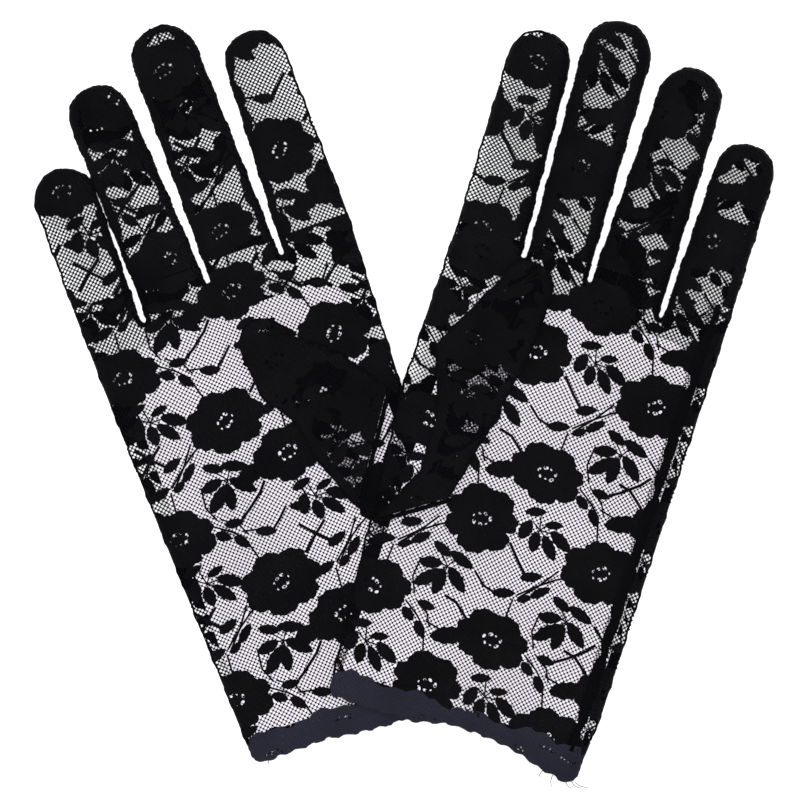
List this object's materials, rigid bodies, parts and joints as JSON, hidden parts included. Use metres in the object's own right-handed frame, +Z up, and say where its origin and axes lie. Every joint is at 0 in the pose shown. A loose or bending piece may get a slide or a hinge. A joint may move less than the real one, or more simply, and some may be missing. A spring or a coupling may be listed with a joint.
{
  "type": "lace gloves",
  "caption": "Pair of wrist-length stretch-lace dress gloves lying flat, thumbs folded over the palms, with a stiff card in each.",
  "frame": {"origin": "on the floor under the middle of the pair's bounding box", "axes": "+X across the pair to the right, +Y towards the fingertips, +Z up"},
  "size_m": [0.2442, 0.2492, 0.0113],
  "materials": {
    "flower_lace": "stretch lace of flowers, leaves and vines on fine net",
    "plain_net": "fine hexagonal net",
    "hem_lace": "dense turned hem",
    "seam_thread": "overlocked thread",
    "card": "white coated card"
  },
  "bodies": {
    "left_hand": {"left_palm_panel": "flower_lace", "left_back_panel": "flower_lace", "left_side_seam": "seam_thread", "left_thumb_side_fold": "seam_thread", "left_ring_little_fourchette": "plain_net", "left_middle_ring_fourchette": "plain_net", "left_index_middle_fourchette": "plain_net", "left_hem": "hem_lace", "left_thumb_root": "plain_net"},
    "left_index": {"left_index_front": "flower_lace", "left_index_back": "flower_lace", "left_index_side_strip": "plain_net"},
    "left_middle": {"left_middle_front": "flower_lace", "left_middle_back": "flower_lace", "left_middle_side_strip": "plain_net"},
    "left_ring": {"left_ring_front": "flower_lace", "left_ring_back": "flower_lace", "left_ring_side_strip": "plain_net"},
    "left_little": {"left_little_front": "flower_lace", "left_little_back": "flower_lace", "left_little_side_strip": "plain_net"},
    "left_thumb": {"left_thumb_over": "flower_lace", "left_thumb_under": "flower_lace", "left_thumb_seam": "seam_thread"},
    "left_card": {"left_card": "card"},
    "right_hand": {"right_palm_panel": "flower_lace", "right_back_panel": "flower_lace", "right_thumb_side_fold": "seam_thread", "right_little_side_fold": "seam_thread", "right_side_seam": "seam_thread", "right_index_middle_fourchette": "plain_net", "right_middle_ring_fourchette": "plain_net", "right_ring_little_fourchette": "plain_net", "right_hem": "hem_lace", "right_thumb_root": "plain_net"},
    "right_index": {"right_index_front": "flower_lace", "right_index_back": "flower_lace", "right_index_side_strip": "plain_net"},
    "right_middle": {"right_middle_front": "flower_lace", "right_middle_back": "flower_lace", "right_middle_side_strip": "plain_net"},
    "right_ring": {"right_ring_front": "flower_lace", "right_ring_back": "flower_lace", "right_ring_side_strip": "plain_net"},
    "right_little": {"right_little_front": "flower_lace", "right_little_back": "flower_lace", "right_little_side_strip": "plain_net"},
    "right_thumb": {"right_thumb_over": "flower_lace", "right_thumb_under": "flower_lace", "right_thumb_seam": "seam_thread"},
    "right_card": {"right_card": "card"}
  },
  "joints": [
    {"name": "left_index_bend", "type": "hinge", "parent": "left_hand", "child": "left_index", "pos_m": [-0.0305, 0.05715, 0.0056], "axis": [0.9426, 0.3338, 0], "range_deg": [0, 90]},
    {"name": "left_middle_bend", "type": "hinge", "parent": "left_hand", "child": "left_middle", "pos_m": [-0.05468, 0.04859, 0.0056], "axis": [0.9426, 0.3338, 0], "range_deg": [0, 90]},
    {"name": "left_ring_bend", "type": "hinge", "parent": "left_hand", "child": "left_ring", "pos_m": [-0.07834, 0.04021, 0.0056], "axis": [0.9426, 0.3338, 0], "range_deg": [0, 90]},
    {"name": "left_little_bend", "type": "hinge", "parent": "left_hand", "child": "left_little", "pos_m": [-0.0995, 0.03272, 0.0056], "axis": [0.9426, 0.3338, 0], "range_deg": [0, 90]},
    {"name": "left_thumb_unfold", "type": "hinge", "parent": "left_hand", "child": "left_thumb", "pos_m": [-0.01055, -0.01641, 0.0089], "axis": [0.2418, 0.9703, 0], "range_deg": [0, 150]},
    {"name": "left_card_slide", "type": "slide", "parent": "left_hand", "child": "left_card", "axis": [0.3338, -0.9426, 0], "range_m": [0, 0.15]},
    {"name": "right_glove_lift", "type": "slide", "parent": "left_hand", "child": "right_hand", "axis": [0, 0, 1], "range_m": [0, 0.08]},
    {"name": "right_index_bend", "type": "hinge", "parent": "right_hand", "child": "right_index", "pos_m": [0.02938, 0.05485, 0.008], "axis": [0.9511, -0.309, 0], "range_deg": [0, 90]},
    {"name": "right_middle_bend", "type": "hinge", "parent": "right_hand", "child": "right_middle", "pos_m": [0.05182, 0.04756, 0.008], "axis": [0.9511, -0.309, 0], "range_deg": [0, 90]},
    {"name": "right_ring_bend", "type": "hinge", "parent": "right_hand", "child": "right_ring", "pos_m": [0.07526, 0.03994, 0.008], "axis": [0.9511, -0.309, 0], "range_deg": [0, 90]},
    {"name": "right_little_bend", "type": "hinge", "parent": "right_hand", "child": "right_little", "pos_m": [0.09818, 0.03249, 0.008], "axis": [0.9511, -0.309, 0], "range_deg": [0, 90]},
    {"name": "right_thumb_unfold", "type": "hinge", "parent": "right_hand", "child": "right_thumb", "pos_m": [0.00266, -0.03626, 0.0113], "axis": [0.961, 0.2766, 0], "range_deg": [0, 150]},
    {"name": "right_card_slide", "type": "slide", "parent": "right_hand", "child": "right_card", "axis": [-0.309, -0.9511, 0], "range_m": [0, 0.15]}
  ]
}
